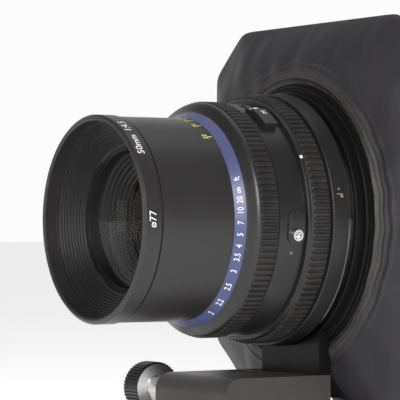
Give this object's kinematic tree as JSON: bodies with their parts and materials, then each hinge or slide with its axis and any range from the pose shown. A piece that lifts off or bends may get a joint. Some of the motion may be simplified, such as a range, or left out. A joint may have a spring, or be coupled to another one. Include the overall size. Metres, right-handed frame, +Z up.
{
  "type": "roll-film technical camera on a tripod head",
  "caption": "Technical camera: wide lens in a ringed barrel, bag bellows, knob-driven lens standard on a rail, revolving roll-film back and a panning tripod clamp.",
  "frame": {"origin": "mouth of the tripod socket, in the middle of the underside of the pan base", "axes": "+Z up along the pan axis; the lens looks along -Y; +X is the side of the flash socket"},
  "size_m": [0.152, 0.2327, 0.2061],
  "materials": {
    "black_anodised": "satin black anodised",
    "black_inner": "matt black",
    "blue_band": "satin dark blue with engraved scale",
    "grip_rubber": "ribbed matt rubber",
    "grey_anodised": "satin dark grey anodised",
    "bright_flange": "turned and polished",
    "steel": "brushed",
    "blackened_steel": "blackened",
    "silver_dial": "satin",
    "coated_glass": "multi-coated",
    "leather": "smooth, worn at folds",
    "rail_black": "black anodised",
    "brass": "machined",
    "back_black": "fine crackle paint",
    "spool_plastic": "moulded",
    "knob_black": "moulded"
  },
  "bodies": {
    "pan_base": {"pan_base": "rail_black"},
    "pan_lock": {"pan_knob": "knob_black"},
    "clamp": {"rail_clamp": "rail_black"},
    "clamp_jaw": {"clamp_jaw": "rail_black"},
    "clamp_screw": {"clamp_knob": "knob_black"},
    "camera": {"rail": "rail_black", "focus_rack": "brass", "rear_block": "grey_anodised", "rear_frame": "black_anodised", "bellows": "leather"},
    "front_standard": {"front_block": "grey_anodised", "lens_standard": "black_anodised", "standard_screws": "blackened_steel", "bellows_ring": "black_anodised", "bayonet_ring": "steel", "focus_bearing": "steel", "lens_flange": "bright_flange", "rear_barrel": "black_anodised", "rear_cell": "black_inner", "rear_element": "coated_glass", "shutter_barrel": "black_anodised", "shutter_plate": "black_inner", "sync_plate": "black_anodised", "sync_terminal": "steel", "front_barrel": "black_anodised", "front_cell": "black_inner", "front_element": "coated_glass", "baffle_ring": "black_inner", "filter_ring": "black_anodised"},
    "focus_drive": {"focus_knob": "black_anodised", "knob_dial": "silver_dial", "focus_pinion": "steel"},
    "distance_ring": {"distance_ring": "black_anodised", "scale_band": "blue_band", "distance_grip": "grip_rubber"},
    "floating_cell": {"floating_cell": "black_inner", "second_element": "coated_glass"},
    "shutter_lever": {"shutter_lever": "black_anodised"},
    "aperture_ring": {"aperture_ring": "grey_anodised", "aperture_grip": "grip_rubber"},
    "film_back": {"back_adapter": "black_anodised", "back_shell": "back_black", "film_gate": "black_inner"},
    "pressure_plate": {"pressure_plate": "blackened_steel"},
    "dark_slide": {"dark_slide": "steel"},
    "back_door": {"back_door": "back_black"},
    "door_latch": {"door_latch": "steel"},
    "winding": {"winding_knob": "black_anodised", "takeup_spool": "spool_plastic"},
    "supply_spool": {"supply_spool": "spool_plastic"},
    "shutter_leaf_1": {"shutter_leaf_1": "blackened_steel"},
    "iris_blade_1": {"iris_blade_1": "blackened_steel"},
    "shutter_leaf_2": {"shutter_leaf_2": "blackened_steel"},
    "iris_blade_2": {"iris_blade_2": "blackened_steel"},
    "shutter_leaf_3": {"shutter_leaf_3": "blackened_steel"},
    "iris_blade_3": {"iris_blade_3": "blackened_steel"},
    "shutter_leaf_4": {"shutter_leaf_4": "blackened_steel"},
    "iris_blade_4": {"iris_blade_4": "blackened_steel"},
    "shutter_leaf_5": {"shutter_leaf_5": "blackened_steel"},
    "iris_blade_5": {"iris_blade_5": "blackened_steel"}
  },
  "joints": [
    {"name": "pan", "type": "hinge", "parent": "pan_base", "child": "clamp", "pos_m": [0, 0, 0.016], "axis": [0, 0, 1], "continuous": true},
    {"name": "pan_lock", "type": "hinge", "parent": "pan_base", "child": "pan_lock", "pos_m": [-0.04, 0, 0.0065], "axis": [-1, 0, 0], "range_deg": [0, 180]},
    {"name": "jaw", "type": "slide", "parent": "clamp", "child": "clamp_jaw", "axis": [1, 0, 0], "range_m": [0, 0.0015]},
    {"name": "clamp_screw", "type": "hinge", "parent": "clamp", "child": "clamp_screw", "pos_m": [0.035, 0, 0.0238], "axis": [1, 0, 0], "range_deg": [0, 433]},
    {"name": "balance", "type": "slide", "parent": "clamp", "child": "camera", "axis": [0, 1, 0], "range_m": [-0.02, 0.02]},
    {"name": "focus", "type": "slide", "parent": "camera", "child": "front_standard", "axis": [0, 1, 0], "range_m": [-0.01, 0.01], "deforming": ["bellows"]},
    {"name": "focus_knob", "type": "hinge", "parent": "front_standard", "child": "focus_drive", "pos_m": [-0.04, -0.0539, 0.0576], "axis": [1, 0, 0], "range_deg": [-120, 120]},
    {"name": "distance_ring", "type": "hinge", "parent": "front_standard", "child": "distance_ring", "pos_m": [0, -0.056, 0.126], "axis": [0, -1, 0], "range_deg": [0, 150]},
    {"name": "floating_cell", "type": "slide", "parent": "front_standard", "child": "floating_cell", "axis": [0, 1, 0], "range_m": [0, 0.0016]},
    {"name": "shutter_lever", "type": "hinge", "parent": "front_standard", "child": "shutter_lever", "pos_m": [0, -0.043, 0.126], "axis": [0, -1, 0], "range_deg": [0, 18]},
    {"name": "aperture_ring", "type": "hinge", "parent": "front_standard", "child": "aperture_ring", "pos_m": [0, -0.032, 0.126], "axis": [0, -1, 0], "range_deg": [0, 60]},
    {"name": "revolve", "type": "hinge", "parent": "camera", "child": "film_back", "pos_m": [0, 0.076, 0.126], "axis": [0, -1, 0], "range_deg": [0, 90]},
    {"name": "pressure_plate", "type": "slide", "parent": "film_back", "child": "pressure_plate", "axis": [0, 1, 0], "range_m": [0, 0.0015], "stiffness_N_per_m": 400},
    {"name": "dark_slide", "type": "slide", "parent": "film_back", "child": "dark_slide", "axis": [1, 0, 0], "range_m": [0, 0.085]},
    {"name": "back_door", "type": "hinge", "parent": "film_back", "child": "back_door", "pos_m": [-0.053, 0.1222, 0.126], "axis": [0, 0, 1], "range_deg": [0, 120]},
    {"name": "door_latch", "type": "slide", "parent": "back_door", "child": "door_latch", "axis": [0, 0, 1], "range_m": [0, 0.004]},
    {"name": "winding", "type": "hinge", "parent": "film_back", "child": "winding", "pos_m": [0.027, 0.105, 0.126], "axis": [0, 0, 1], "continuous": true},
    {"name": "supply_spool", "type": "hinge", "parent": "film_back", "child": "supply_spool", "pos_m": [-0.027, 0.105, 0.126], "axis": [0, 0, 1], "continuous": true},
    {"name": "shutter_leaf_1", "type": "hinge", "parent": "front_standard", "child": "shutter_leaf_1", "pos_m": [0.0282, -0.0448, 0.126], "axis": [0, 1, 0], "range_deg": [0, 34]},
    {"name": "iris_blade_1", "type": "hinge", "parent": "front_standard", "child": "iris_blade_1", "pos_m": [0.024, -0.0417, 0.126], "axis": [0, 1, 0], "range_deg": [0, 24.5]},
    {"name": "shutter_leaf_2", "type": "hinge", "parent": "front_standard", "child": "shutter_leaf_2", "pos_m": [0.00871, -0.0448, 0.09918], "axis": [0, 1, 0], "range_deg": [0, 34]},
    {"name": "iris_blade_2", "type": "hinge", "parent": "front_standard", "child": "iris_blade_2", "pos_m": [0.00742, -0.0417, 0.10317], "axis": [0, 1, 0], "range_deg": [0, 24.5]},
    {"name": "shutter_leaf_3", "type": "hinge", "parent": "front_standard", "child": "shutter_leaf_3", "pos_m": [-0.02281, -0.0448, 0.10942], "axis": [0, 1, 0], "range_deg": [0, 34]},
    {"name": "iris_blade_3", "type": "hinge", "parent": "front_standard", "child": "iris_blade_3", "pos_m": [-0.01942, -0.0417, 0.11189], "axis": [0, 1, 0], "range_deg": [0, 24.5]},
    {"name": "shutter_leaf_4", "type": "hinge", "parent": "front_standard", "child": "shutter_leaf_4", "pos_m": [-0.02281, -0.0448, 0.14258], "axis": [0, 1, 0], "range_deg": [0, 34]},
    {"name": "iris_blade_4", "type": "hinge", "parent": "front_standard", "child": "iris_blade_4", "pos_m": [-0.01942, -0.0417, 0.14011], "axis": [0, 1, 0], "range_deg": [0, 24.5]},
    {"name": "shutter_leaf_5", "type": "hinge", "parent": "front_standard", "child": "shutter_leaf_5", "pos_m": [0.00871, -0.0448, 0.15282], "axis": [0, 1, 0], "range_deg": [0, 34]},
    {"name": "iris_blade_5", "type": "hinge", "parent": "front_standard", "child": "iris_blade_5", "pos_m": [0.00742, -0.0417, 0.14883], "axis": [0, 1, 0], "range_deg": [0, 24.5]}
  ],
  "couplings": [
    {"joint": "clamp_screw", "follows": "jaw", "rad_per_m": 5026.5},
    {"joint": "focus_knob", "follows": "focus", "rad_per_m": -208.33},
    {"joint": "floating_cell", "follows": "distance_ring", "m_per_rad": 0.000611},
    {"joint": "supply_spool", "follows": "winding", "ratio": 1},
    {"joint": "shutter_leaf_1", "follows": "shutter_lever", "ratio": 1.85},
    {"joint": "iris_blade_1", "follows": "aperture_ring", "ratio": 0.4},
    {"joint": "shutter_leaf_2", "follows": "shutter_lever", "ratio": 1.85},
    {"joint": "iris_blade_2", "follows": "aperture_ring", "ratio": 0.4},
    {"joint": "shutter_leaf_3", "follows": "shutter_lever", "ratio": 1.85},
    {"joint": "iris_blade_3", "follows": "aperture_ring", "ratio": 0.4},
    {"joint": "shutter_leaf_4", "follows": "shutter_lever", "ratio": 1.85},
    {"joint": "iris_blade_4", "follows": "aperture_ring", "ratio": 0.4},
    {"joint": "shutter_leaf_5", "follows": "shutter_lever", "ratio": 1.85},
    {"joint": "iris_blade_5", "follows": "aperture_ring", "ratio": 0.4}
  ]
}
